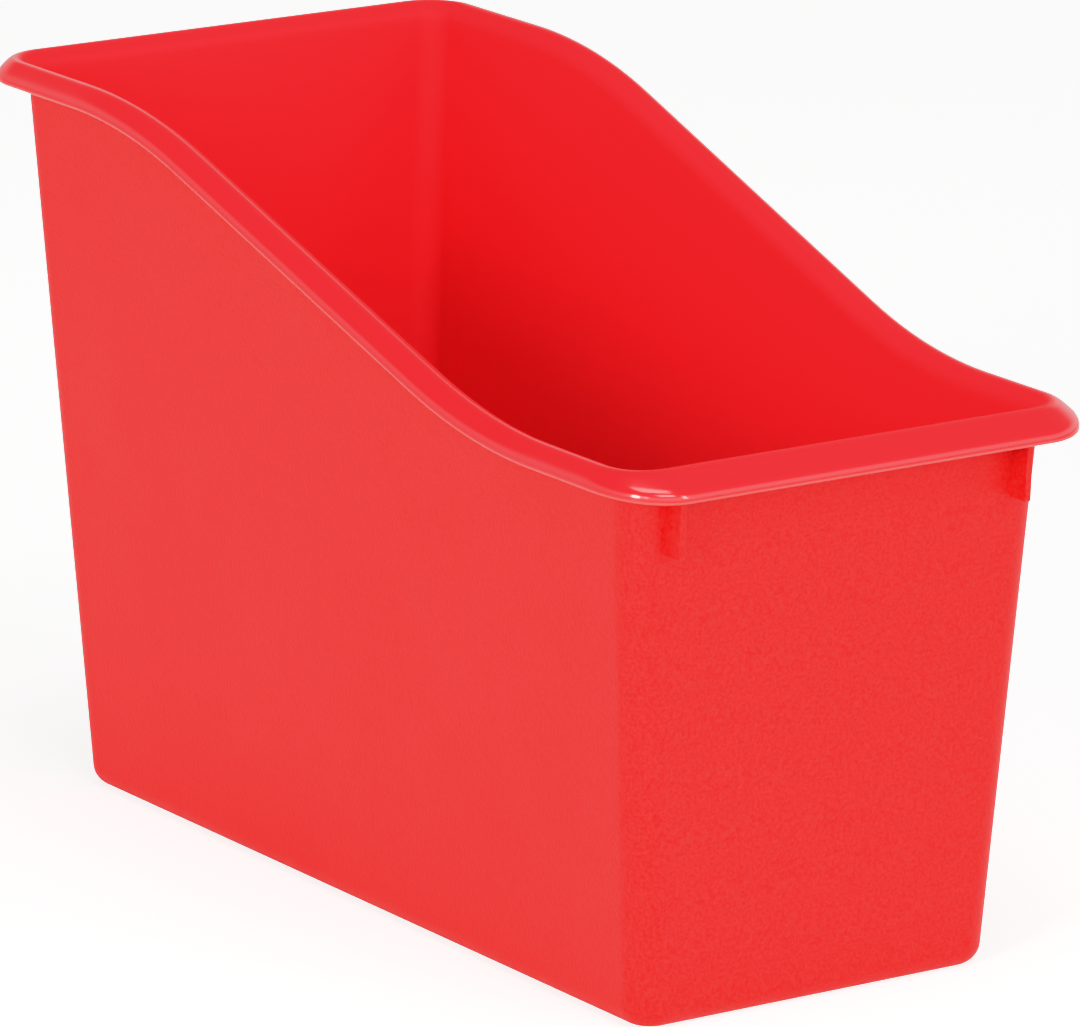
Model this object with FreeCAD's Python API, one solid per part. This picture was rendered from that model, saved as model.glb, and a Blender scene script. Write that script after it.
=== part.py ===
import FreeCAD, Part
import math
import os

# A slope-sided supply bin, moulded in one shot of polypropylene.
# The bin is open at the top.  Its rear is tall, its front is low, and the rim
# follows a soft S-shaped ramp down both sides.  The moulding is stored as its
# named regions, which meet face to face and never overlap: the floor, the flat
# walls, the rounded upright corners, the lengths of rolled rim and the ribs.
#
# Frame: millimetres, +Z up, +Y towards the tall rear, and +X to the right of
# someone who faces the low front.  The origin is the middle of the resting face.

Vector = FreeCAD.Vector

# ---- Driving dimensions -------------------------------------------------------
# Overall tub, measured on the outer faces at the resting plane
base_width = 103.0
base_length = 253.0
rear_height = 190.5
front_height = 141.0

# Outward lean of each wall from the vertical, degrees
side_draft = 3.8
front_draft = 3.3
rear_draft = 3.0

# Plastic thickness and roundings
wall_thickness = 2.0
floor_thickness = 2.2
corner_radius = 8.2
base_edge_radius = 5.0

# Ramp of the rim: level stretches in front of and behind it, and its two bends
front_shelf = 48.6
rear_shelf = 55.4
bend_radius = 155.0

# Rolled rim, seen in section: the wall bends outward, turns over at the crest and
# bends down again into a hanging lip, which stands further out at the front.
# Reach is the lip's distance outside the crest, and drop is its depth below it.
underside_radius = 0.4
roll_start_depth = 4.0
crest_offset = 3.1
lip_straight = 1.0
side_lip_reach = 5.0
side_lip_drop = 5.6
front_lip_reach = 9.0
front_lip_drop = 6.8
rear_lip_reach = 4.6
rear_lip_drop = 5.6
seam_below_lip = 1.2

# Stacking ribs below the rim of the two end walls
rib_thickness = 1.7
rib_projection = 6.2
rib_inset = 0.4
rib_foot_below_crest = 22.2

# ---- Modelling constants ------------------------------------------------------
reach_past = 60.0          # how far a cutting block runs past the tub
seam_allowance = 1.0       # extra rim depth that is trimmed back to the wall's top
corner_sections = 7        # sections that a rim corner is lofted through

# Skin radius of every bend in the rim, over plastic as thick as the walls
roll_radius = underside_radius + wall_thickness

# The rim's regions end, and the walls begin, on a seam that runs below every lip
rim_depth = max(side_lip_drop, front_lip_drop, rear_lip_drop, roll_start_depth) + seam_below_lip

side_slope = math.tan(math.radians(side_draft))
front_slope = math.tan(math.radians(front_draft))
rear_slope = math.tan(math.radians(rear_draft))


# ---- Places on the leaning walls ----------------------------------------------
def half_width(height):
    """Outer face of the side walls at a height."""
    return base_width / 2 + side_slope * height


def front_face(height):
    """Y of the front wall's outer face at a height."""
    return -(base_length / 2 + front_slope * height)


def rear_face(height):
    """Y of the rear wall's outer face at a height."""
    return base_length / 2 + rear_slope * height


# ---- Shape helpers ------------------------------------------------------------
def extruded(points, direction):
    """A prism: a closed polygon of points pushed along a direction."""
    return Part.Face(Part.makePolygon(points + points[:1])).extrude(direction)


def leaning(shape, slope_x, slope_y, level):
    """Lean an upright shape outward by its slopes, leaving it alone at one level."""
    matrix = FreeCAD.Matrix()
    matrix.A13 = slope_x
    matrix.A14 = -slope_x * level
    matrix.A23 = slope_y
    matrix.A24 = -slope_y * level
    return shape.transformGeometry(matrix)


def mirrored_left_right(shape):
    return shape.mirror(Vector(0, 0, 0), Vector(1, 0, 0))


# ---- The ramp curve -----------------------------------------------------------
def ramp_edges(below):
    """The side view of the rim's crest, or of a curve running parallel below it."""
    low_bend_y = -base_length / 2 + front_shelf
    high_bend_y = base_length / 2 - rear_shelf
    climb = math.atan2(rear_height - front_height, high_bend_y - low_bend_y)
    tangent = bend_radius * math.tan(climb / 2)
    low_centre = Vector(0, low_bend_y - tangent, front_height + bend_radius)
    high_centre = Vector(0, high_bend_y + tangent, rear_height - bend_radius)
    low_radius = bend_radius + below
    high_radius = bend_radius - below

    def on_low_bend(angle):
        return low_centre + Vector(0, math.sin(angle), -math.cos(angle)) * low_radius

    def on_high_bend(angle):
        return high_centre + Vector(0, -math.sin(angle), math.cos(angle)) * high_radius

    front_end = Vector(0, front_face(front_height) - reach_past, front_height - below)
    rear_end = Vector(0, rear_face(rear_height) + reach_past, rear_height - below)
    return [
        Part.LineSegment(front_end, on_low_bend(0)).toShape(),
        Part.Arc(on_low_bend(0), on_low_bend(climb / 2), on_low_bend(climb)).toShape(),
        Part.LineSegment(on_low_bend(climb), on_high_bend(climb)).toShape(),
        Part.Arc(on_high_bend(climb), on_high_bend(climb / 2), on_high_bend(0)).toShape(),
        Part.LineSegment(on_high_bend(0), rear_end).toShape(),
    ]


def block_below_ramp(below):
    """Everything under the ramp curve lowered by a depth, across the whole width."""
    edges = ramp_edges(below)
    front_end = edges[0].Vertexes[0].Point
    rear_end = edges[-1].Vertexes[-1].Point
    front_foot = Vector(0, front_end.y, -reach_past)
    rear_foot = Vector(0, rear_end.y, -reach_past)
    edges.append(Part.LineSegment(rear_end, rear_foot).toShape())
    edges.append(Part.LineSegment(rear_foot, front_foot).toShape())
    edges.append(Part.LineSegment(front_foot, front_end).toShape())
    reach = half_width(rear_height) + reach_past
    side_view = Part.Face(Part.Wire(edges))
    side_view.translate(Vector(-reach, 0, 0))
    return side_view.extrude(Vector(2 * reach, 0, 0))


# ---- The tub's walls and floor ------------------------------------------------
def rounded_outline(height, inset):
    """Closed plan outline of the tub at a height, moved inward by an inset."""
    right = half_width(height) - inset
    front = front_face(height) + inset
    rear = rear_face(height) - inset
    radius = corner_radius - inset
    diagonal = radius * math.sqrt(0.5)
    edges = []
    corners = [(right, front, 1, -1), (right, rear, 1, 1), (-right, rear, -1, 1), (-right, front, -1, -1)]
    ends = []
    for x, y, out_x, out_y in corners:
        centre = Vector(x - out_x * radius, y - out_y * radius, height)
        on_side = centre + Vector(out_x * radius, 0, 0)
        on_end = centre + Vector(0, out_y * radius, 0)
        middle = centre + Vector(out_x * diagonal, out_y * diagonal, 0)
        first, last = (on_end, on_side) if out_x == -out_y else (on_side, on_end)
        ends.append((first, middle, last))
    for index, (first, middle, last) in enumerate(ends):
        edges.append(Part.Arc(first, middle, last).toShape())
        edges.append(Part.LineSegment(last, ends[(index + 1) % 4][0]).toShape())
    return Part.Wire(edges)


def tapered_block(bottom, top, inset, edge_radius):
    """A solid block with the tub's leaning, rounded sides and a rounded bottom edge."""
    block = Part.makeLoft([rounded_outline(bottom, inset), rounded_outline(top, inset)], True, True)
    bottom_edges = [edge for edge in block.Edges if edge.BoundBox.ZMax < bottom + 1e-4]
    return block.makeFillet(edge_radius, bottom_edges)


def tub():
    """The walls and the floor in one, cut off below the rim."""
    top = rear_height + seam_allowance
    outside = tapered_block(0, top, 0, base_edge_radius)
    inside = tapered_block(floor_thickness, top + seam_allowance, wall_thickness,
                           base_edge_radius - wall_thickness)
    return outside.cut(inside).common(block_below_ramp(rim_depth))


# ---- Blocks that divide the moulding into its regions ---------------------------
def block_between_sides():
    """The stretch across the bin between the ends of the rounded corners."""
    low, high = -reach_past, rear_height + reach_past
    low_x = half_width(low) - corner_radius
    high_x = half_width(high) - corner_radius
    start = front_face(high) - reach_past
    length = rear_face(high) + reach_past - start
    outline = [Vector(-low_x, start, low), Vector(low_x, start, low),
               Vector(high_x, start, high), Vector(-high_x, start, high)]
    return extruded(outline, Vector(0, length, 0))


def block_between_ends():
    """The stretch along the bin between the ends of the rounded corners."""
    low, high = -reach_past, rear_height + reach_past
    reach = half_width(high) + reach_past
    outline = [Vector(-reach, front_face(low) + corner_radius, low),
               Vector(-reach, rear_face(low) - corner_radius, low),
               Vector(-reach, rear_face(high) - corner_radius, high),
               Vector(-reach, front_face(high) + corner_radius, high)]
    return extruded(outline, Vector(2 * reach, 0, 0))


def half_space(out_x, out_y):
    """The quarter of space on one side of the bin's middle, or half if a sign is 0."""
    reach_x = half_width(rear_height) + reach_past
    reach_y = rear_face(rear_height) + 2 * reach_past
    low_x, high_x = (-reach_x, reach_x) if out_x == 0 else sorted((0, out_x * reach_x))
    low_y, high_y = (-reach_y, reach_y) if out_y == 0 else sorted((0, out_y * reach_y))
    block = Part.makeBox(high_x - low_x, high_y - low_y, rear_height + 2 * reach_past)
    block.translate(Vector(low_x, low_y, -reach_past))
    return block


def block_above(height):
    reach_x = half_width(rear_height) + reach_past
    reach_y = rear_face(rear_height) + 2 * reach_past
    block = Part.makeBox(2 * reach_x, 2 * reach_y, rear_height + reach_past)
    block.translate(Vector(-reach_x, -reach_y, height))
    return block


# ---- The rolled rim -----------------------------------------------------------
def belt_around(pegs, radius):
    """Points of a belt laid over a row of equal round pegs, as (first, middle, last) of each arc.

    Pegs are (out, up) centres.  The belt comes up the first peg's inner side and
    leaves down the last peg's outer side.
    """
    angles = [math.pi]
    for (out, up), (next_out, next_up) in zip(pegs, pegs[1:]):
        angles.append(math.atan2(next_up - up, next_out - out) + math.pi / 2)
    angles.append(0.0)
    arcs = []
    for (out, up), start, end in zip(pegs, angles, angles[1:]):
        turns = (start, (start + end) / 2, end)
        arcs.append([(out + radius * math.cos(turn), up + radius * math.sin(turn)) for turn in turns])
    return arcs


def rim_section(reach, drop, origin, outward):
    """Closed section of an upright rim, with its crest at height 0 above the origin."""
    foot = -(rim_depth + seam_allowance)
    lip = crest_offset + reach
    pegs = [(roll_radius - wall_thickness, -roll_start_depth),
            (crest_offset, -roll_radius),
            (lip - roll_radius, lip_straight - drop)]
    skin = belt_around(pegs, roll_radius)
    underside = belt_around(pegs, roll_radius - wall_thickness)

    # Corners are single points and bends are arcs through three, joined by straight lines
    outline = [[(-wall_thickness, foot)]] + skin + [[(lip, -drop)], [(lip - wall_thickness, -drop)]]
    outline += [bend[::-1] for bend in reversed(underside)] + [[(0, foot)]]
    places = [[origin + outward * out + Vector(0, 0, up) for out, up in stretch] for stretch in outline]
    edges = []
    for stretch, following in zip(places, places[1:] + places[:1]):
        if len(stretch) == 3:
            edges.append(Part.Arc(*stretch).toShape())
        edges.append(Part.LineSegment(stretch[-1], following[0]).toShape())
    return Part.Wire(edges)


def side_rim():
    """The right-hand rim between the corners, following the ramp."""
    spine = Part.Wire(ramp_edges(0))
    start = spine.Vertexes[0].Point
    sweep = Part.BRepOffsetAPI.MakePipeShell(spine)
    sweep.setBiNormalMode(Vector(1, 0, 0))
    sweep.add(rim_section(side_lip_reach, side_lip_drop, start, Vector(1, 0, 0)))
    sweep.build()
    sweep.makeSolid()
    upright = sweep.shape()
    upright.translate(Vector(base_width / 2, 0, 0))
    return leaning(upright, side_slope, 0, 0).common(block_between_ends()).cut(block_below_ramp(rim_depth))


def end_rim(out_y, face, slope, height, reach, drop):
    """The rim along an end wall between the corners."""
    run = 2 * (half_width(rear_height) + reach_past)
    start = Vector(-run / 2, face(height), height)
    upright = Part.Face(rim_section(reach, drop, start, Vector(0, out_y, 0))).extrude(Vector(run, 0, 0))
    leant = leaning(upright, 0, out_y * slope, height)
    return leant.common(block_between_sides()).common(block_above(height - rim_depth))


def corner_rim(out_y, face, slope, height, reach, drop):
    """The right-hand rim corner, whose lip passes from the side's reach to the end's."""
    axis = Vector(half_width(height) - corner_radius, face(height) - out_y * corner_radius, height)
    sections = []
    for index in range(corner_sections):
        turn = math.radians(90) * index / (corner_sections - 1)
        blend = math.sin(turn) ** 2
        outward = Vector(math.cos(turn), out_y * math.sin(turn), 0)
        sections.append(rim_section(side_lip_reach + (reach - side_lip_reach) * blend,
                                    side_lip_drop + (drop - side_lip_drop) * blend,
                                    axis + outward * corner_radius, outward))
    upright = Part.makeLoft(sections, True, False)
    leant = leaning(upright, side_slope, out_y * slope, height)
    return leant.common(block_above(height - rim_depth))


# ---- Stacking ribs ------------------------------------------------------------
def stacking_rib(out_y, face, slope, height, rim, walls):
    """The right-hand rib of an end wall: an upright gusset under the rim."""
    foot = height - rib_foot_below_crest
    outer_x = half_width(foot) - corner_radius - rib_inset
    root = face(foot) - out_y * wall_thickness
    edge = face(foot) + out_y * rib_projection
    lean = out_y * slope * rib_foot_below_crest
    side_view = [Vector(outer_x, root, foot), Vector(outer_x, edge, foot),
                 Vector(outer_x, edge + lean, height), Vector(outer_x, root + lean, height)]
    gusset = extruded(side_view, Vector(-rib_thickness, 0, 0))
    below_rim = gusset.cut(rim).cut(walls)
    return max(below_rim.Solids, key=lambda solid: solid.Volume)


# ---- Assembly -----------------------------------------------------------------
def build_nodes():
    whole_tub = tub()
    between_sides = block_between_sides()
    between_ends = block_between_ends()
    above_floor = block_above(base_edge_radius)
    walls = whole_tub.common(above_floor)
    nodes = {"floor": whole_tub.cut(above_floor)}
    ends = {
        "front": (-1, front_face, front_slope, front_height, front_lip_reach, front_lip_drop),
        "rear": (1, rear_face, rear_slope, rear_height, rear_lip_reach, rear_lip_drop),
    }
    side_wall = walls.common(between_ends).common(half_space(1, 0)).cut(between_sides)
    right_nodes = {"wall_right": side_wall, "rim_right": side_rim()}
    for end, values in ends.items():
        out_y, face, slope, height = values[:4]
        end_wall = walls.common(between_sides).common(half_space(0, out_y)).cut(between_ends)
        rim = end_rim(*values)
        nodes["wall_" + end] = end_wall
        nodes["rim_" + end] = rim
        corner = walls.cut(between_sides).cut(between_ends).common(half_space(1, out_y))
        right_nodes["corner_" + end + "_right"] = corner
        right_nodes["rim_corner_" + end + "_right"] = corner_rim(*values)
        right_nodes["stacking_rib_" + end + "_right"] = stacking_rib(out_y, face, slope, height, rim, end_wall)
    for name, shape in right_nodes.items():
        nodes[name] = shape
        nodes[name.replace("right", "left")] = mirrored_left_right(shape)
    return nodes


def main():
    os.makedirs("parts", exist_ok=True)
    for name, shape in build_nodes().items():
        if len(shape.Solids) != 1 or not shape.isValid():
            raise RuntimeError(name + " is not one valid solid")
        shape.Solids[0].exportStep("parts/" + name + ".step")


main()
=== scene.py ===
import math

import bmesh
import bpy
from mathutils import Matrix, Vector


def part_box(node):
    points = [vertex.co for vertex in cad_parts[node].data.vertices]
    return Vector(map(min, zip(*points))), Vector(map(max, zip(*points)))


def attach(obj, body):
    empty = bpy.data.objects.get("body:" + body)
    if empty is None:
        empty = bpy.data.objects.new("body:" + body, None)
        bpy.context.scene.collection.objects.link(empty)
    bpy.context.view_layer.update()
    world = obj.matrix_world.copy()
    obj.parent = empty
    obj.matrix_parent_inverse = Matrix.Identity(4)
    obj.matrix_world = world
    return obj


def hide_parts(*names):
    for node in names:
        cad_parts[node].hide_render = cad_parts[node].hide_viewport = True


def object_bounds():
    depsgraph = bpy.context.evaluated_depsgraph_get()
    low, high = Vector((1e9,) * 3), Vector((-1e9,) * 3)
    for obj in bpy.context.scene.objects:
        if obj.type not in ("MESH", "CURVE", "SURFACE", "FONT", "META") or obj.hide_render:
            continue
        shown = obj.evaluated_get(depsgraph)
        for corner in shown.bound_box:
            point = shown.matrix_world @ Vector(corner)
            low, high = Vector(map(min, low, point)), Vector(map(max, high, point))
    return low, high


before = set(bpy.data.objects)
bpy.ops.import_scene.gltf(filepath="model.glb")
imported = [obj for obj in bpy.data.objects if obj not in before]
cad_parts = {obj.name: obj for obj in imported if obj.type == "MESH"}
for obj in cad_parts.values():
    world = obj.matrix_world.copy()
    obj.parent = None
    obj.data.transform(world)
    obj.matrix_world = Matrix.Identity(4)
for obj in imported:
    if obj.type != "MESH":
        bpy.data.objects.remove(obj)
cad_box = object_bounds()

bl_info = {
    "name": "Slope-Sided Supply Bin",
    "version": (1, 0, 0),
    "blender": (4, 5, 0),
    "location": "View3D > Sidebar > Supply Bin",
    "description": "Builds the looks of a moulded, slope-sided supply bin around its solid model",
    "category": "Add Mesh",
}

# The bin is one moulding of red polypropylene.  It stands on z = 0, its tall rear faces +Y and
# its low front faces -Y.  Lengths are in metres unless a comment says otherwise.
MM = 0.001
BODY = "root"
QUARTER_TURN = math.pi / 2
SURFACE_MARKS = ("smooth", "polished", "painted_edge_highlight")

TUB_NODES = ["floor"]
TUB_NODES += ["wall_" + side for side in ("front", "rear", "left", "right")]
TUB_NODES += ["rim_" + side for side in ("front", "rear", "left", "right")]
for end in ("front", "rear"):
    for side in ("left", "right"):
        TUB_NODES += ["corner_" + end + "_" + side, "rim_corner_" + end + "_" + side]
RIB_NODES = ["stacking_rib_" + end + "_" + side
             for end in ("front", "rear") for side in ("left", "right")]

WHITE = (1.0, 1.0, 1.0, 1.0)
WARM = (1.0, 0.97, 0.88)
FLOOR_RADIUS = 30.0
CAMERA_AIM = Vector((2.62348, -2.75951, 92.16778)) * MM
SENSOR_WIDTH = 36.0    # in millimetres, as the focal length is


# ---- Sizes read from the solid model --------------------------------------------------
SIDE_DRAFT = math.radians(3.8)
FRONT_DRAFT = math.radians(3.3)
REAR_DRAFT = math.radians(3.0)
floor_low, floor_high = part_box("floor")
BASE_EDGE = floor_high.z
BASE_WIDTH = floor_high.x - floor_low.x - 2 * BASE_EDGE * math.tan(SIDE_DRAFT)
END_SLOPES = math.tan(FRONT_DRAFT) + math.tan(REAR_DRAFT)
BASE_LENGTH = floor_high.y - floor_low.y - BASE_EDGE * END_SLOPES
REAR_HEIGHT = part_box("rim_rear")[1].z
FRONT_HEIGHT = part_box("rim_front")[1].z
BIN_MIDDLE = (cad_box[0] + cad_box[1]) / 2


# ---- Properties -----------------------------------------------------------------------
def length(name, description, default):
    """A size that the user may change, shown in the scene's length unit."""
    return bpy.props.FloatProperty(name=name, description=description, default=default, min=0.0,
                                   precision=5, unit="LENGTH", subtype="DISTANCE")


def angle(name, description, default):
    return bpy.props.FloatProperty(name=name, description=description, default=default,
                                   unit="ROTATION", subtype="ANGLE")


def share(name, description, default):
    return bpy.props.FloatProperty(name=name, description=description, default=default,
                                   min=0.0, max=1.0, subtype="FACTOR")


def count(name, description, default):
    return bpy.props.IntProperty(name=name, description=description, default=default, min=1)


def colour(name, description, default):
    return bpy.props.FloatVectorProperty(name=name, description=description, default=default, size=3,
                                         min=0.0, max=1.0, subtype="COLOR")


def strength(name, description, default):
    return bpy.props.FloatProperty(name=name, description=description, default=default, min=0.0)


def power(name, description, default):
    return bpy.props.FloatProperty(name=name, description=description, default=default,
                                   min=0.0, unit="POWER")


class TubShape(bpy.types.PropertyGroup):
    """Sizes of the tub, on its outer faces."""
    base_width: length("Base Width", "Width at the resting plane", BASE_WIDTH)
    base_length: length("Base Length", "Length at the resting plane", BASE_LENGTH)
    rear_height: length("Rear Height", "Height of the rim's crest at the rear", REAR_HEIGHT)
    front_height: length("Front Height", "Height of the rim's crest at the front", FRONT_HEIGHT)
    side_draft: angle("Side Draft", "Outward lean of the side walls", SIDE_DRAFT)
    front_draft: angle("Front Draft", "Outward lean of the front wall", FRONT_DRAFT)
    rear_draft: angle("Rear Draft", "Outward lean of the rear wall", REAR_DRAFT)
    wall_thickness: length("Wall Thickness", "Thickness of the walls", 2.0 * MM)
    floor_thickness: length("Floor Thickness", "Thickness of the floor", 2.2 * MM)
    corner_radius: length("Corner Radius", "Radius of the upright corners", 8.2 * MM)
    base_edge_radius: length("Base Edge Radius", "Rounding between walls and floor", BASE_EDGE)
    front_shelf: length("Front Shelf", "From the front of the base to the ramp's low bend", 48.6 * MM)
    rear_shelf: length("Rear Shelf", "From the ramp's high bend to the rear of the base", 55.4 * MM)
    bend_radius: length("Bend Radius", "Radius of the ramp's two bends", 155.0 * MM)
    end_steps: count("End Steps", "Mesh steps along half of an end wall", 10)
    corner_steps: count("Corner Steps", "Mesh steps round a corner", 20)
    side_steps: count("Side Steps", "Mesh steps along a side wall", 76)


class RimShape(bpy.types.PropertyGroup):
    """Sizes of the rolled rim's section."""
    underside_radius: length("Underside Radius", "Radius of the bends on the rim's underside", 0.4 * MM)
    start_depth: length("Start Depth", "Depth below the crest where the wall starts to bend", 4.0 * MM)
    crest_offset: length("Crest Offset", "From the wall's outer face to the crest", 3.1 * MM)
    lip_straight: length("Lip Straight", "Upright length of the lip", 1.0 * MM)
    side_reach: length("Side Reach", "From the crest to the lip along the sides", 5.0 * MM)
    side_drop: length("Side Drop", "Depth of the lip below the crest along the sides", 5.6 * MM)
    front_reach: length("Front Reach", "From the crest to the lip at the front", 9.0 * MM)
    front_drop: length("Front Drop", "Depth of the lip below the crest at the front", 6.8 * MM)
    rear_reach: length("Rear Reach", "From the crest to the lip at the rear", 4.6 * MM)
    rear_drop: length("Rear Drop", "Depth of the lip below the crest at the rear", 5.6 * MM)
    lip_edge: length("Lip Edge", "Rounding of the lip's two lower edges", 0.5 * MM)
    softness: length("Softness", "How far the bends on top of the rim are softened", 0.9 * MM)
    steps: count("Steps", "Mesh steps over the top of the rim", 52)


class RibShape(bpy.types.PropertyGroup):
    """Sizes of the stacking ribs."""
    thickness: length("Thickness", "Thickness of a rib", 1.7 * MM)
    projection: length("Projection", "How far a rib stands out of its wall", 6.2 * MM)
    inset: length("Inset", "From the start of the rounded corner to a rib", 0.4 * MM)
    foot_depth: length("Foot Depth", "From the rim's crest down to a rib's foot", 22.2 * MM)
    root: length("Root", "How far a rib runs into its wall", 1.0 * MM)
    edge: length("Edge", "Rounding of a rib's edges", 0.3 * MM)


class PlasticFinish(bpy.types.PropertyGroup):
    """Colour and surface of the moulded plastic."""
    # Satin Red is the plastic's red on the textured outside, made a little darker than the inside's red as
    # painted shade that holds down the stronger light on the outer walls
    shaded_satin_red: colour("Satin Red", "Colour of the textured outside", (0.72, 0.003, 0.003))
    grain_red: colour("Grain Red", "Colour of the paler grains in the texture", (0.72, 0.018, 0.016))
    smooth_red: colour("Smooth Red", "Colour of the smooth rim and inside", (0.80, 0.007, 0.013))
    # Edge Highlight Red is a painted highlight: a paler red along the rim's lower edge and the ribs' outer
    # edges, where light catches them
    edge_highlight_red: colour("Edge Red", "Colour of thin edges, where light passes through",
                     (0.92, 0.10, 0.085))
    grain_size: length("Grain Size", "Width of one grain of the outside texture", 0.8 * MM)
    grain_depth: length("Grain Depth", "Depth of the outside texture", 0.1 * MM)
    satin: share("Satin Roughness", "Roughness of the textured outside", 0.41)
    smooth: share("Smooth Roughness", "Roughness of the inside", 0.8)
    polished: share("Polished Roughness", "Roughness of the rim", 0.15)


class StageLook(bpy.types.PropertyGroup):
    """Floor, lights and camera."""
    floor_colour: colour("Floor Colour", "Colour of the pale floor", (0.8, 0.8, 0.8))
    floor_glow: strength("Floor Glow", "Light of its own with which the floor looks nearly white", 1.1)
    azimuth: angle("Azimuth", "Direction of the camera round the bin", math.radians(-34.0599))
    elevation: angle("Elevation", "Height of the camera above the horizon", math.radians(14.8427))
    roll: angle("Roll", "Tilt of the camera about its own axis", math.radians(0.3481))
    distance: length("Distance", "From the camera to the point it looks at", 2307.39 * MM)
    focal_length: bpy.props.FloatProperty(name="Focal Length", description="Focal length of the lens",
                                          default=311.31, min=1.0, unit="CAMERA")
    backdrop: strength("Backdrop", "Brightness of the white surroundings behind the bin", 2.0)
    horizon: strength("Horizon", "Strength of the light from the surroundings near the horizon", 1.35)
    overhead: strength("Overhead", "Strength of the light from the surroundings higher up", 0.34)
    frontal: share("Frontal Share", "How much brighter the surroundings are in front of the bin", 0.6)
    key: power("Key Light", "Power of the main softbox, low on the left", 26.0)
    side: power("Side Light", "Power of the softbox beside the main one", 3.5)
    fill: power("Fill Light", "Power of the small softbox, low on the right", 7.0)
    front: power("Front Light", "Power of the softbox above and in front", 14.0)
    top: power("Top Light", "Power of the overhead softbox", 11.0)


# ---- Node trees -----------------------------------------------------------------------
class Wire:
    """An output socket that takes part in sums: an expression on wires adds its Math nodes."""

    def __init__(self, tree, socket):
        self.tree = tree
        self.socket = socket

    def math(self, operation, *others, **settings):
        values = dict(enumerate((self,) + others))
        return add(self.tree, "ShaderNodeMath", dict(settings, operation=operation), values)

    def __add__(self, other):
        return self.math("ADD", other)

    def __sub__(self, other):
        return self.math("SUBTRACT", other)

    def __rsub__(self, other):
        return (self * -1) + other

    def __mul__(self, other):
        return self.math("MULTIPLY", other)

    def __truediv__(self, other):
        return self.math("DIVIDE", other)

    def __pow__(self, power):
        return self.math("POWER", power)

    def __neg__(self):
        return self * -1

    __radd__ = __add__
    __rmul__ = __mul__

    def clamped(self, low=0.0, high=1.0):
        return self.math("MAXIMUM", low).math("MINIMUM", high)


def add(tree, kind, settings=None, values=None, output=0):
    """Adds a node: its settings first, then the values or links of its sockets. Returns one output."""
    node = tree.nodes.new(kind)
    for name, setting in (settings or {}).items():
        setattr(node, name, setting)
    for key, value in (values or {}).items():
        if isinstance(value, Wire):
            tree.links.new(value.socket, node.inputs[key])
        elif value is not None:
            node.inputs[key].default_value = value
    return Wire(tree, node.outputs[output]) if node.outputs else node


def mix(a, b, factor):
    """a where factor is 0 and b where it is 1, for numbers and wires alike."""
    return a + (b - a) * factor


def split(tree, vector):
    """The three parts of a vector wire."""
    node = add(tree, "ShaderNodeSeparateXYZ", values={0: vector}).socket.node
    return [Wire(tree, part) for part in node.outputs]


class ShapeTree:
    """A geometry tree with named inputs, to be run once on an object and then removed."""

    def __init__(self, name):
        self.tree = bpy.data.node_groups.new(name, "GeometryNodeTree")
        self.tree.interface.new_socket("Geometry", in_out="INPUT", socket_type="NodeSocketGeometry")
        self.tree.interface.new_socket("Geometry", in_out="OUTPUT", socket_type="NodeSocketGeometry")
        self.entry = self.tree.nodes.new("NodeGroupInput")
        self.values = {}

    def add(self, kind, settings=None, values=None, output=0):
        return add(self.tree, kind, settings, values, output)

    def geometry(self):
        return Wire(self.tree, self.entry.outputs["Geometry"])

    def number(self, name, value):
        """A named input of the tree, with the value that the modifier gives it."""
        kind = "NodeSocketInt" if isinstance(value, int) else "NodeSocketFloat"
        item = self.tree.interface.new_socket(name, in_out="INPUT", socket_type=kind)
        self.values[item.identifier] = value
        return Wire(self.tree, self.entry.outputs[name])

    def sampled(self, source, name, row, kind="FLOAT_VECTOR"):
        """An attribute of the source's points, read at a row."""
        value = self.add("GeometryNodeInputNamedAttribute", {"data_type": kind}, {"Name": name})
        return self.add("GeometryNodeSampleIndex", {"data_type": kind, "domain": "POINT"},
                        {"Geometry": source, "Value": value, "Index": row})

    def close(self, mesh, material):
        """Ends the tree in Realize Instances and Set Material."""
        solid = self.add("GeometryNodeRealizeInstances", values={"Geometry": mesh})
        painted = self.add("GeometryNodeSetMaterial", values={"Geometry": solid, "Material": material})
        leave = self.tree.nodes.new("NodeGroupOutput")
        self.tree.links.new(painted.socket, leave.inputs["Geometry"])

    def run(self, piece):
        """Turns the piece's mesh into what the tree makes of it, as a plain closed mesh."""
        modifier = piece.modifiers.new(self.tree.name, "NODES")
        modifier.node_group = self.tree
        for identifier, value in self.values.items():
            modifier[identifier] = value
        piece.update_tag()
        depsgraph = bpy.context.evaluated_depsgraph_get()
        made = bpy.data.meshes.new_from_object(
            piece.evaluated_get(depsgraph), preserve_all_data_layers=True, depsgraph=depsgraph)
        piece.modifiers.remove(modifier)
        if not made.polygons:
            raise RuntimeError(piece.name + " came out of its tree without a face")
        made.name = piece.name
        piece.data = made
        face_outwards(made)


def face_outwards(mesh):
    """Points every face of a closed mesh outwards, and fails if the mesh isn't closed."""
    shell = bmesh.new()
    shell.from_mesh(mesh)
    bmesh.ops.recalc_face_normals(shell, faces=shell.faces)
    open_edges = [edge for edge in shell.edges if len(edge.link_faces) != 2]
    volume = shell.calc_volume(signed=True)
    if volume < 0:
        bmesh.ops.reverse_faces(shell, faces=shell.faces)
    shell.to_mesh(mesh)
    shell.free()
    if open_edges:
        raise RuntimeError(f"{mesh.name} has {len(open_edges)} edges that don't join two faces")


def new_piece(name, points=(), edges=()):
    """A mesh object in the scene, with the given points."""
    mesh = bpy.data.meshes.new(name)
    mesh.from_pydata(points, edges, [])
    piece = bpy.data.objects.new(name, mesh)
    bpy.context.scene.collection.objects.link(piece)
    return piece


def hand_over(piece, nodes):
    """Ties a finished piece to the solid model."""
    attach(piece, BODY)
    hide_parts(*nodes)


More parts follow.
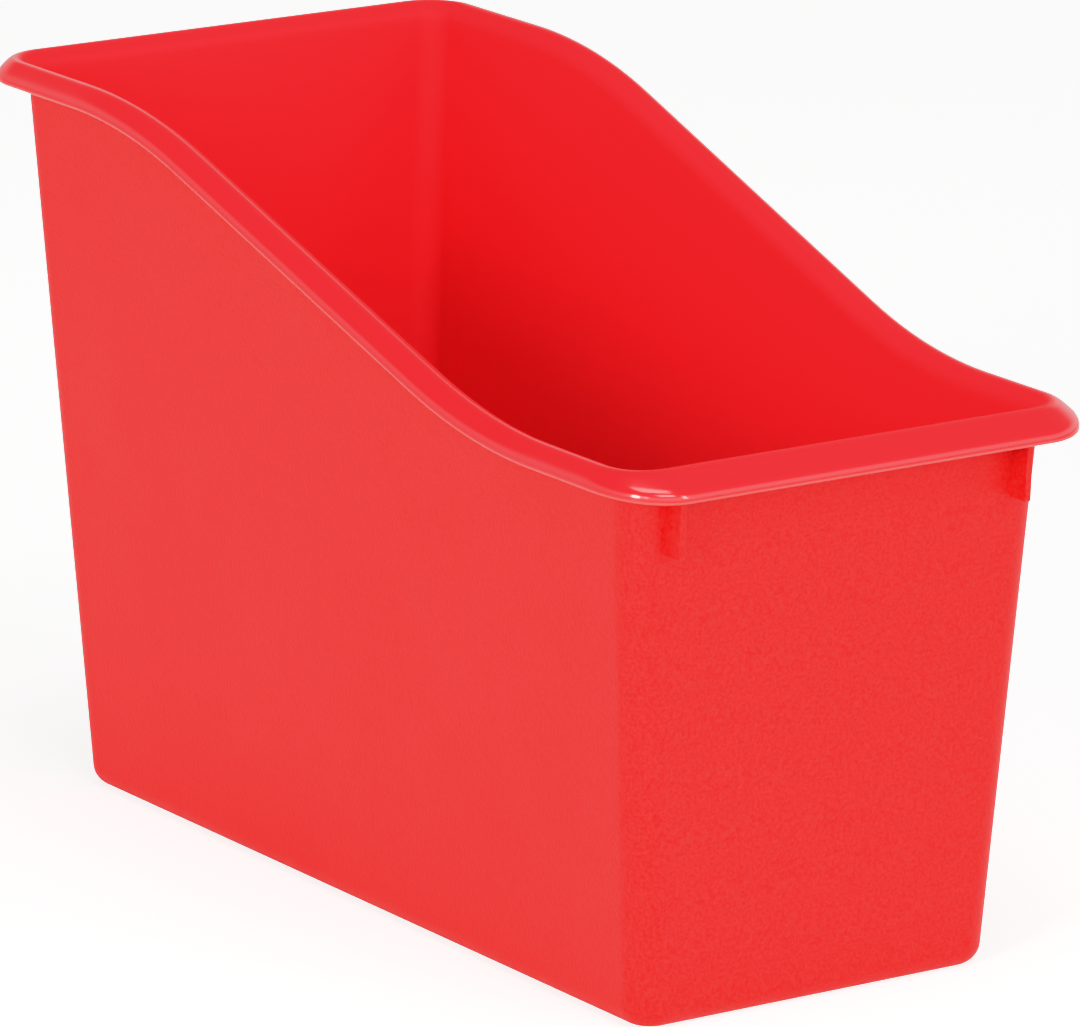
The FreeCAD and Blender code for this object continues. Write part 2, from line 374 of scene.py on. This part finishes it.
# ---- The moulding's section -----------------------------------------------------------
def arc(centre, radius, start, end, steps):
    """Points of an arc as (out, up), both ends included."""
    turns = [start + (end - start) * step / steps for step in range(steps + 1)]
    return [(centre[0] + radius * math.cos(turn), centre[1] + radius * math.sin(turn))
            for turn in turns]


def spaced(points, guard):
    """Adds a point near each end of every long straight run, so that shading stays on the bends."""
    filled = []
    for (out, up), (next_out, next_up) in zip(points, points[1:]):
        filled.append((out, up))
        run = math.hypot(next_out - out, next_up - up)
        if run > 4 * guard:
            for way in (guard / run, 1 - guard / run):
                filled.append((mix(out, next_out, way), mix(up, next_up, way)))
    return filled + points[-1:]


def rounded(points, softness, steps):
    """Respaces an outline evenly and softens its bends, but keeps its ends and its height."""
    passed = [0.0]
    for (out, up), (next_out, next_up) in zip(points, points[1:]):
        passed.append(passed[-1] + math.hypot(next_out - out, next_up - up))
    step = passed[-1] / steps
    even = []
    place = 0
    for index in range(steps + 1):
        while place < len(points) - 2 and passed[place + 1] < index * step:
            place += 1
        way = (index * step - passed[place]) / (passed[place + 1] - passed[place])
        even.append(tuple(mix(a, b, way) for a, b in zip(points[place], points[place + 1])))
    soft = even
    for _ in range(round(2 * (softness / step) ** 2)):
        threes = zip(soft, soft[1:], soft[2:])
        inner = [tuple((a + 2 * b + c) / 4 for a, b, c in zip(*three)) for three in threes]
        soft = soft[:1] + inner + soft[-1:]
    lost = max(up for _, up in even) - max(up for _, up in soft)
    return [(out, up + lost * math.sin(math.pi * index / steps))
            for index, (out, up) in enumerate(soft)]


def rim_places(tub, rim, reach, drop):
    """The rim's outline from the outer wall round the lip to the inner wall, as (out, up)."""
    underside_steps = 4
    edge_steps = 5
    top_steps = 10
    below_bend = 2.5 * MM
    guard = 0.25 * MM
    wall = tub.wall_thickness
    radius = rim.underside_radius + wall
    lip = rim.crest_offset + reach
    pegs = [(rim.underside_radius, -rim.start_depth), (rim.crest_offset, -radius),
            (lip - radius, rim.lip_straight - drop)]
    turns = [math.pi]
    for (out, up), (next_out, next_up) in zip(pegs, pegs[1:]):
        turns.append(math.atan2(next_up - up, next_out - out) + QUARTER_TURN)
    turns.append(0.0)
    bends = list(zip(pegs, turns, turns[1:]))
    places = []
    for peg, start, end in bends:
        places += arc(peg, rim.underside_radius, start, end, underside_steps)
    edge = rim.lip_edge
    foot = edge - drop
    places += arc((lip - wall + edge, foot), edge, math.pi, 1.5 * math.pi, edge_steps)
    places += arc((lip - edge, foot), edge, 1.5 * math.pi, 2 * math.pi, edge_steps)
    top = places[-1:]
    for peg, start, end in reversed(bends):
        top += arc(peg, radius, end, start, top_steps)
    top.append((-wall, -rim.start_depth - below_bend))
    return spaced(places, guard) + rounded(top, rim.softness, rim.steps)[1:]


def section_rows(tub, rim):
    """Rows of the moulding's closed section, from the middle underneath to the middle inside.

    Each row has its place at the foot of the wall, its places at the side, front and rear rim, its
    rise from the foot (0) to the rim (1) and its spread from the middle (0) to the walls (1).
    Its last three numbers are 1 where the plastic is smooth, where it is polished as well, and
    along the rim's thin lower edge, where a paler red highlight is painted.
    """
    edge = tub.base_edge_radius
    inner_edge = edge - tub.wall_thickness
    side = rim_places(tub, rim, rim.side_reach, rim.side_drop)
    front = rim_places(tub, rim, rim.front_reach, rim.front_drop)
    rear = rim_places(tub, rim, rim.rear_reach, rim.rear_drop)
    outer_steps = 10
    inner_steps = 8
    inner_centre = (-edge, tub.floor_thickness + inner_edge)
    under = arc((-edge, edge), edge, -QUARTER_TURN, 0.0, outer_steps)
    inside = arc(inner_centre, inner_edge, 0.0, -QUARTER_TURN, inner_steps)
    spreads = [0.0, 0.2, 0.4, 0.6, 0.8, 0.95, 0.99]
    rises = [0.006, 0.03, 0.1, 0.2, 0.3, 0.4, 0.5, 0.6, 0.7, 0.8, 0.9, 0.97, 0.994]
    starts = (side[0], front[0], rear[0])
    ends = (side[-1], front[-1], rear[-1])
    # The underside is textured up to its bend into the lip.  The polish starts there, and fades
    # out over a few rows past the crest.
    last_textured = 14
    fading = 7
    crest = max(range(len(side)), key=lambda index: side[index][1])
    textured = (0.0, 0.0, 0.0)
    smooth = (1.0, 0.0, 0.0)
    lip_middle = rim.crest_offset + rim.side_reach - tub.wall_thickness / 2
    lip_foot = 1.1 * rim.lip_edge - rim.side_drop

    rows = [(under[0], starts, 0.0, spread, *textured) for spread in spreads]
    rows += [(place, starts, 0.0, 1.0, *textured) for place in under]
    rows += [(under[-1], starts, rise, 1.0, *textured) for rise in rises]
    for index, places in enumerate(zip(side, front, rear)):
        smooth_here = 1.0 if index > last_textured else 0.0
        polished = smooth_here * min(max(1 - (index - crest) / fading, 0.0), 1.0)
        out, up = places[0]
        # The lip's lower edge is marked for a painted highlight, a paler red
        thin = 1.0 if out > lip_middle and up < lip_foot else 0.0
        rows.append((under[-1], places, 1.0, 1.0, smooth_here, polished, thin))
    rows += [(inside[0], ends, rise, 1.0, *smooth) for rise in reversed(rises)]
    rows += [(place, ends, 0.0, 1.0, *smooth) for place in inside]
    rows += [(inside[-1], ends, 0.0, spread, *smooth) for spread in reversed(spreads)]
    return rows


def section_piece(name, rows):
    """The section as a line of points, whose attributes say how each row goes round the bin."""
    points = [(out, 0.0, up) for (out, up), *_ in rows]
    piece = new_piece(name, points, [(index, index + 1) for index in range(len(points) - 1)])
    attributes = piece.data.attributes
    for index, place_name in enumerate(("foot_place", "side_place", "front_place", "rear_place")):
        column = attributes.new(place_name, "FLOAT_VECTOR", "POINT")
        for point, (foot, places, *_) in zip(column.data, rows):
            out, up = ((foot,) + tuple(places))[index]
            point.vector = (out, 0.0, up)
    for index, number_name in enumerate(("rise", "spread") + SURFACE_MARKS):
        column = attributes.new(number_name, "FLOAT", "POINT")
        for point, row in zip(column.data, rows):
            point.value = row[2 + index]
    return piece


# ---- The tub ---------------------------------------------------------------------------
def tub_tree(tub, material):
    """Carries the section round the bin: along the end walls, round the corners and up the ramp."""
    shape = ShapeTree("Tub Round The Bin")
    tree = shape.tree
    section = shape.geometry()
    half_base = shape.number("Base Width", tub.base_width) / 2
    half_length = shape.number("Base Length", tub.base_length) / 2
    rear_height = shape.number("Rear Height", tub.rear_height)
    front_height = shape.number("Front Height", tub.front_height)
    side_slope = shape.number("Side Draft", tub.side_draft).math("TANGENT")
    front_slope = shape.number("Front Draft", tub.front_draft).math("TANGENT")
    rear_slope = shape.number("Rear Draft", tub.rear_draft).math("TANGENT")
    radius = shape.number("Corner Radius", tub.corner_radius)
    front_shelf = shape.number("Front Shelf", tub.front_shelf)
    rear_shelf = shape.number("Rear Shelf", tub.rear_shelf)
    bend = shape.number("Bend Radius", tub.bend_radius)
    end_steps = shape.number("End Steps", tub.end_steps)
    corner_steps = shape.number("Corner Steps", tub.corner_steps)
    side_steps = shape.number("Side Steps", tub.side_steps)

    # A grid of stations round half the bin by rows of the section
    row_count = shape.add("GeometryNodeAttributeDomainSize", values={"Geometry": section})
    stations = (end_steps + corner_steps) * 2 + side_steps + 1
    grid = shape.add("GeometryNodeMeshGrid", values={"Vertices X": stations, "Vertices Y": row_count})
    index = shape.add("GeometryNodeInputIndex")
    nudge = 1e-6    # keeps a whole number from being rounded down
    station = (index / row_count + nudge).math("FLOOR")
    row = index - station * row_count

    # How far each station is along the five stretches
    passed = []
    start = 0.0
    for steps in (end_steps, corner_steps, side_steps, corner_steps, end_steps):
        passed.append(((station - start) / steps).clamped())
        start = steps + start
    front_run, front_turn, side_run, rear_turn, rear_run = passed
    turn = (front_turn + rear_turn - 1) * QUARTER_TURN
    # Stations crowd together towards the corners, along the end walls and along the sides
    end_crowding = 1.5
    side_crowding = 0.7
    across = (1 - (1 - front_run) ** end_crowding) * (1 - rear_run ** end_crowding)
    wave = (side_run * (2 * math.pi)).math("SINE")
    along = side_run - wave * (side_crowding / (2 * math.pi))

    # Axis of the rounded corners, which leans outward with the height
    def axis_x(height):
        return half_base + side_slope * height - radius

    def front_axis(height):
        return radius - half_length - front_slope * height

    def rear_axis(height):
        return half_length + rear_slope * height - radius

    # The ramp: level, bent up, straight, bent back and level again
    low_bend = front_shelf - half_length
    high_bend = half_length - rear_shelf
    climb = (rear_height - front_height).math("ARCTAN2", high_bend - low_bend)
    tangent = bend * (climb / 2).math("TANGENT")
    steep = climb.math("SINE")
    low_start = low_bend - tangent
    high_end = high_bend + tangent
    path = mix(front_axis(front_height), rear_axis(rear_height), along)
    low_sine = ((path - low_start) / bend).clamped(0.0, steep)
    high_sine = ((high_end - path) / bend).clamped(0.0, steep)
    sine = low_sine.math("MINIMUM", high_sine)
    cosine = (1 - sine * sine).math("SQRT")
    straight = high_end - low_start - bend * steep * 2
    climbed = (path - low_start - bend * steep).math("MAXIMUM", 0.0).math("MINIMUM", straight)
    crest = front_height + bend * (1 - (1 - low_sine * low_sine).math("SQRT"))
    crest = crest + climbed * climb.math("TANGENT")
    crest = crest + bend * ((1 - high_sine * high_sine).math("SQRT") - climb.math("COSINE"))

    # The rim's outline passes from the side's to the end's round each corner
    blend = turn.math("SINE") ** 2
    foot_out, _, foot_up = split(tree, shape.sampled(section, "foot_place", row))
    side_out, _, side_up = split(tree, shape.sampled(section, "side_place", row))
    front_out, _, front_up = split(tree, shape.sampled(section, "front_place", row))
    rear_out, _, rear_up = split(tree, shape.sampled(section, "rear_place", row))
    rim_out = mix(side_out, mix(front_out, rear_out, side_run), blend)
    rim_up = mix(side_up, mix(front_up, rear_up, side_run), blend)

    # Each row's height and axis, at the foot, at the rim and in between
    rim_z = crest + rim_up * cosine
    fade = 16.0    # an end wall's lean fades out over a sixteenth of the side
    front_lean = front_slope * (front_height - rim_z) * (1 - along * fade).clamped()
    rear_lean = rear_slope * (rim_z - rear_height) * (along * fade - (fade - 1)).clamped()
    rim_y = path - rim_up * sine + front_lean + rear_lean
    foot_y = mix(front_axis(foot_up), rear_axis(foot_up), along)
    rise = shape.sampled(section, "rise", row, "FLOAT")
    spread = shape.sampled(section, "spread", row, "FLOAT")
    outward = radius + mix(foot_out, rim_out, rise)
    x = mix(axis_x(foot_up), axis_x(rim_z), rise) * across + outward * turn.math("COSINE")
    y = mix(foot_y, rim_y, rise) + outward * turn.math("SINE")
    z = mix(foot_up, rim_z, rise)
    place = shape.add("ShaderNodeCombineXYZ", values={"X": x * spread, "Y": y * spread, "Z": z})

    marked = grid
    for mark in SURFACE_MARKS:
        marked = shape.add("GeometryNodeStoreNamedAttribute", {"data_type": "FLOAT", "domain": "POINT"},
                           {"Geometry": marked, "Name": mark,
                            "Value": shape.sampled(section, mark, row, "FLOAT")})
    half = shape.add("GeometryNodeSetPosition", values={"Geometry": marked, "Position": place})
    other = shape.add("GeometryNodeTransform", values={"Geometry": half, "Scale": (-1.0, 1.0, 1.0)})
    other = shape.add("GeometryNodeFlipFaces", values={"Mesh": other})
    both = shape.add("GeometryNodeJoinGeometry", values={"Geometry": half})
    tree.links.new(other.socket, both.socket.node.inputs["Geometry"])
    seam = 0.01 * MM
    whole = shape.add("GeometryNodeMergeByDistance", values={"Geometry": both, "Distance": seam})
    smooth = shape.add("GeometryNodeSetShadeSmooth", values={"Geometry": whole})
    shape.close(smooth, material)
    return shape


class SUPPLY_BIN_OT_tub(bpy.types.Operator):
    """Build the tub with its floor, walls, rounded corners and rolled rim"""
    bl_idname = "supply_bin.tub"
    bl_label = "Build Tub"

    def execute(self, context):
        scene = context.scene
        rows = section_rows(scene.bin_tub, scene.bin_rim)
        piece = section_piece("moulded_tub", rows)
        tub_tree(scene.bin_tub, moulded_plastic(scene.bin_finish)).run(piece)
        hand_over(piece, TUB_NODES)
        return {"FINISHED"}


# ---- The stacking ribs -----------------------------------------------------------------
def rib_tree(tub, rib, material):
    """Repeats one gusset under the rim at both sides of both end walls."""
    shape = ShapeTree("Ribs Under The Rim")
    tree = shape.tree
    half_base = shape.number("Base Width", tub.base_width) / 2
    half_length = shape.number("Base Length", tub.base_length) / 2
    front_height = shape.number("Front Height", tub.front_height)
    rear_height = shape.number("Rear Height", tub.rear_height)
    side_slope = shape.number("Side Draft", tub.side_draft).math("TANGENT")
    front_slope = shape.number("Front Draft", tub.front_draft).math("TANGENT")
    rear_slope = shape.number("Rear Draft", tub.rear_draft).math("TANGENT")
    radius = shape.number("Corner Radius", tub.corner_radius)
    thickness = shape.number("Rib Thickness", rib.thickness)
    projection = shape.number("Rib Projection", rib.projection)
    inset = shape.number("Inset", rib.inset)
    foot_depth = shape.number("Foot Depth", rib.foot_depth)
    root = shape.number("Root", rib.root)

    points = shape.add("GeometryNodePoints", values={"Count": 4})
    block = shape.add("GeometryNodeMeshCube",
                      values={"Size": (1.0, 1.0, 1.0), "Vertices Y": 6, "Vertices Z": 8})
    copies = shape.add("GeometryNodeInstanceOnPoints", values={"Points": points, "Instance": block})
    number = shape.add("GeometryNodeInputIndex")
    # end is 0 at the front and 1 at the rear, and side is 0 on the left and 1 on the right
    halved = number / 2
    for name, value in (("end", halved.math("FLOOR")), ("side", halved.math("FRACT") * 2)):
        copies = shape.add("GeometryNodeStoreNamedAttribute", {"data_type": "FLOAT", "domain": "INSTANCE"},
                           {"Geometry": copies, "Name": name, "Value": value})
    ribs = shape.add("GeometryNodeRealizeInstances", values={"Geometry": copies})

    end = shape.add("GeometryNodeInputNamedAttribute", {"data_type": "FLOAT"}, {"Name": "end"})
    side = shape.add("GeometryNodeInputNamedAttribute", {"data_type": "FLOAT"}, {"Name": "side"})
    here = shape.add("GeometryNodeInputPosition")
    across, outward, upward = [part + 0.5 for part in split(tree, here)]
    crest = mix(front_height, rear_height, end)
    slope = mix(front_slope, rear_slope, end)
    out = mix(-root, projection, outward)
    # The top follows the rim's underside: it rises with the bend, then falls to the lip
    rising = out * 0.59 - 2.85 * MM
    falling = out * -0.515 + 0.55 * MM
    z = crest + mix(-foot_depth, rising.math("MINIMUM", falling), upward)
    outer_x = half_base + side_slope * (crest - foot_depth) - radius - inset
    x = (outer_x - thickness * across) * (side * 2 - 1)
    y = (half_length + slope * z + out) * (end * 2 - 1)
    place = shape.add("ShaderNodeCombineXYZ", values={"X": x, "Y": y, "Z": z})
    bent = shape.add("GeometryNodeSetPosition", values={"Geometry": ribs, "Position": place})
    # A painted highlight, a paler red, along the rib's outer edge
    sharpness = 12
    edged = shape.add("GeometryNodeStoreNamedAttribute", {"data_type": "FLOAT", "domain": "POINT"},
                      {"Geometry": bent, "Name": "painted_edge_highlight", "Value": outward ** sharpness})
    shape.close(edged, material)
    return shape


class SUPPLY_BIN_OT_ribs(bpy.types.Operator):
    """Build the four stacking ribs below the rim of the end walls"""
    bl_idname = "supply_bin.ribs"
    bl_label = "Build Stacking Ribs"

    def execute(self, context):
        scene = context.scene
        piece = new_piece("stacking_ribs")
        rib_tree(scene.bin_tub, scene.bin_rib, moulded_plastic(scene.bin_finish)).run(piece)
        bevel = piece.modifiers.new("Rounded Edges", "BEVEL")
        bevel.width = scene.bin_rib.edge
        bevel.segments = 3
        bevel.limit_method = "ANGLE"
        bevel.harden_normals = True
        for face in piece.data.polygons:
            face.use_smooth = True
        hand_over(piece, RIB_NODES)
        return {"FINISHED"}


# ---- The plastic -----------------------------------------------------------------------
def moulded_plastic(finish):
    """Red polypropylene: a fine satin grain outside, smooth inside and polished on the rim."""
    known = bpy.data.materials.get("Moulded Red Polypropylene")
    if known:
        return known
    material = bpy.data.materials.new("Moulded Red Polypropylene")
    material.use_nodes = True
    tree = material.node_tree
    tree.nodes.clear()
    place = add(tree, "ShaderNodeTexCoord", output=3)
    smooth, polished, painted_edge_highlight = [
        add(tree, "ShaderNodeAttribute", {"attribute_type": "GEOMETRY", "attribute_name": mark}, output=2)
        for mark in SURFACE_MARKS]

    def noise(size, detail, roughness=0.5):
        """Noise from 0 to 1, whose features are about this many metres wide."""
        return add(tree, "ShaderNodeTexNoise", {"noise_dimensions": "3D"},
                   {"Vector": place, "Scale": 1 / size, "Detail": detail, "Roughness": roughness})

    def blend(factor, first, second, operation="MIX"):
        """A mix of two colours."""
        first, second = [end if isinstance(end, Wire) else (*end, 1.0) for end in (first, second)]
        return add(tree, "ShaderNodeMix", {"data_type": "RGBA", "blend_type": operation},
                   {0: factor, 6: first, 7: second}, output=2)

    clouds = noise(size=60 * MM, detail=3.0)
    speckle = noise(size=1.3 * MM, detail=2.0)
    grain = noise(finish.grain_size, detail=1.0, roughness=0.6)
    waves = noise(size=35 * MM, detail=1.0)

    # Colour: paler grains outside, slight clouding all over and a painted highlight, a paler red, along
    # the thin edges
    grain_start = 0.3
    grain_contrast = 2.5
    grains = ((grain - grain_start) * grain_contrast).clamped()
    # The outside's red is the plastic's own red darkened as painted shade, for the outer walls' stronger
    # light
    red = blend(grains, finish.shaded_satin_red, finish.grain_red)
    red = blend(smooth, red, finish.smooth_red)
    cloud_start = 0.3
    cloud_contrast = 2.2
    cloud_strength = 0.4
    cloud_tone = (0.93, 0.8, 0.8)
    mottle = clouds * 0.7 + speckle * 0.3
    clouded = ((mottle - cloud_start) * cloud_contrast).clamped() * cloud_strength
    red = blend(clouded, red, cloud_tone, "MULTIPLY")
    # Painted highlight: a paler red along the rim's lower edge and the ribs' outer edges
    edge_highlight_strength = 0.55
    red = blend(painted_edge_highlight * edge_highlight_strength, red, finish.edge_highlight_red)

    # Roughness varies about its middle value with the clouds, and outside with the grain as well
    middle = 0.5
    satin = finish.satin + (clouds - middle) * 0.16 + (grain - middle) * 0.25
    even = mix(finish.smooth, finish.polished, polished) + (clouds - middle) * 0.06
    rough = mix(satin, even, smooth)

    # Height: a grain outside, and shallow waves all over
    textured = 1 - smooth
    wave_height = 0.25 * MM
    height = grain * finish.grain_depth * textured + waves * wave_height
    bump = add(tree, "ShaderNodeBump", values={"Strength": 1.0, "Distance": 1.0, "Height": height})
    plastic = add(tree, "ShaderNodeBsdfPrincipled",
                  values={"Base Color": red, "Roughness": rough, "Normal": bump, "IOR": 1.49,
                          "Specular IOR Level": 0.24, "Coat Weight": polished * 0.75,
                          "Coat Roughness": finish.polished})
    add(tree, "ShaderNodeOutputMaterial", values={"Surface": plastic})
    return material


# ---- The stage -------------------------------------------------------------------------
def view_axes(azimuth, elevation, roll):
    """The camera's right, up and back directions."""
    back = Vector((math.sin(azimuth) * math.cos(elevation),
                   -math.cos(azimuth) * math.cos(elevation), math.sin(elevation)))
    level = Vector((math.cos(azimuth), math.sin(azimuth), 0.0))
    upright = back.cross(level)
    right = level * math.cos(roll) + upright * math.sin(roll)
    up = upright * math.cos(roll) - level * math.sin(roll)
    return right, up, back


def softbox(name, azimuth, elevation, distance, width, height, watts, tone=(1.0, 1.0, 1.0)):
    """A rectangular lamp turned towards the bin's middle; its angles are in degrees."""
    lamp = bpy.data.lights.new(name, "AREA")
    lamp.shape = "RECTANGLE"
    lamp.size = width
    lamp.size_y = height
    lamp.energy = watts
    lamp.color = tone
    box = bpy.data.objects.new(name, lamp)
    back = view_axes(math.radians(azimuth), math.radians(elevation), 0.0)[2]
    box.location = BIN_MIDDLE + back * distance
    box.rotation_euler = back.to_track_quat("Z", "Y").to_euler()
    bpy.context.scene.collection.objects.link(box)


def white_studio(look):
    """White surroundings, which may look brighter than the light that they give."""
    world = bpy.data.worlds.new("White Studio")
    world.use_nodes = True
    tree = world.node_tree
    tree.nodes.clear()
    seen = add(tree, "ShaderNodeLightPath")
    across, along, height = split(tree, add(tree, "ShaderNodeTexCoord"))
    # The light passes from the horizon's to the overhead's between 20 and 32 degrees up
    fade_from = 0.34
    fade_over = 0.19
    lit = mix(look.horizon, look.overhead, ((height - fade_from) / fade_over).clamped())
    # and is stronger in front, a little to the left
    behind = across * 0.17 + along * 0.98
    lit = lit * (1 - behind * look.frontal)
    brightness = mix(lit, look.backdrop, seen)
    sky = add(tree, "ShaderNodeBackground", values={"Color": WHITE, "Strength": brightness})
    add(tree, "ShaderNodeOutputWorld", values={"Surface": sky})
    return world


def set_exposure_curve(view):
    """Holds back the brightest tones, so that a strong red stays one even tone in full light."""
    view.view_transform = "Standard"
    view.use_curve_mapping = True
    mapping = view.curve_mapping
    brightest = 2.0
    mapping.white_level = (brightest, brightest, brightest)
    curve = mapping.curves[3]    # the one for all three colours together
    for light, shown in ((0.7, 0.7), (0.85, 0.815), (1.0, 0.845), (1.4, 0.87)):
        curve.points.new(light / brightest, shown)
    for point in curve.points:
        point.handle_type = "VECTOR"
    mapping.update()


def pale_floor(look):
    """A wide pale disc for the bin to stand on."""
    disc = bmesh.new()
    bmesh.ops.create_circle(disc, cap_ends=True, segments=96, radius=FLOOR_RADIUS)
    mesh = bpy.data.meshes.new("stage_floor")
    disc.to_mesh(mesh)
    disc.free()
    material = bpy.data.materials.new("Pale Floor")
    material.use_nodes = True
    tree = material.node_tree
    tree.nodes.clear()
    matt = add(tree, "ShaderNodeBsdfDiffuse", values={"Color": (*look.floor_colour, 1.0)})
    seen = add(tree, "ShaderNodeLightPath")
    glow = add(tree, "ShaderNodeEmission", values={"Color": WHITE, "Strength": seen * look.floor_glow})
    both = add(tree, "ShaderNodeAddShader", values={0: matt, 1: glow})
    add(tree, "ShaderNodeOutputMaterial", values={"Surface": both})
    mesh.materials.append(material)
    ground = bpy.data.objects.new("stage_floor", mesh)
    bpy.context.scene.collection.objects.link(ground)


class SUPPLY_BIN_OT_stage(bpy.types.Operator):
    """Build the pale floor, the soft studio light and the camera"""
    bl_idname = "supply_bin.stage"
    bl_label = "Build Stage"

    def execute(self, context):
        scene = context.scene
        look = scene.bin_stage
        pale_floor(look)

        scene.world = white_studio(look)
        set_exposure_curve(scene.view_settings)
        softbox("key_softbox", azimuth=-62.0, elevation=18.0, distance=2.2, width=0.4, height=0.8,
                watts=look.key, tone=WARM)
        softbox("side_softbox", azimuth=-46.0, elevation=20.0, distance=2.2, width=0.25, height=0.6,
                watts=look.side, tone=WARM)
        softbox("fill_softbox", azimuth=20.0, elevation=22.0, distance=2.2, width=0.2, height=0.8,
                watts=look.fill, tone=WARM)
        softbox("front_softbox", azimuth=-8.0, elevation=45.0, distance=2.2, width=0.9, height=0.7,
                watts=look.front)
        softbox("top_softbox", azimuth=-20.0, elevation=80.0, distance=1.8, width=1.0, height=0.7,
                watts=look.top)

        right, up, back = view_axes(look.azimuth, look.elevation, look.roll)
        lens = bpy.data.cameras.new("camera")
        lens.lens = look.focal_length
        lens.sensor_width = SENSOR_WIDTH
        lens.clip_start = 0.1
        lens.clip_end = 200.0
        camera = bpy.data.objects.new("camera", lens)
        axes = Matrix((right, up, back)).transposed().to_4x4()
        camera.matrix_world = Matrix.Translation(CAMERA_AIM + back * look.distance) @ axes
        scene.collection.objects.link(camera)
        scene.camera = camera
        return {"FINISHED"}


# ---- The sidebar and the run -----------------------------------------------------------
class SUPPLY_BIN_PT_sidebar(bpy.types.Panel):
    """Lists the bin's sizes, finish and build steps"""
    bl_label = "Supply Bin"
    bl_idname = "SUPPLY_BIN_PT_sidebar"
    bl_space_type = "VIEW_3D"
    bl_region_type = "UI"
    bl_category = "Supply Bin"

    def draw(self, context):
        for title, name, operator in STEPS:
            box = self.layout.box()
            box.label(text=title)
            group = getattr(context.scene, name)
            for key in group.__annotations__:
                box.prop(group, key)
            if operator:
                box.operator(operator)


GROUPS = (
    ("bin_tub", TubShape),
    ("bin_rim", RimShape),
    ("bin_rib", RibShape),
    ("bin_finish", PlasticFinish),
    ("bin_stage", StageLook),
)
STEPS = (
    ("Plastic", "bin_finish", None),
    ("Rim", "bin_rim", None),
    ("Tub", "bin_tub", "supply_bin.tub"),
    ("Stacking Ribs", "bin_rib", "supply_bin.ribs"),
    ("Stage", "bin_stage", "supply_bin.stage"),
)
CLASSES = tuple(group for _, group in GROUPS) + (
    SUPPLY_BIN_OT_tub, SUPPLY_BIN_OT_ribs, SUPPLY_BIN_OT_stage, SUPPLY_BIN_PT_sidebar)


def register():
    for kind in CLASSES:
        bpy.utils.register_class(kind)
    for name, group in GROUPS:
        setattr(bpy.types.Scene, name, bpy.props.PointerProperty(type=group))


def unregister():
    for name, _ in GROUPS:
        delattr(bpy.types.Scene, name)
    for kind in reversed(CLASSES):
        bpy.utils.unregister_class(kind)


def main():
    register()
    bpy.ops.supply_bin.tub()
    bpy.ops.supply_bin.ribs()
    bpy.ops.supply_bin.stage()


if __name__ == "__main__":
    main()
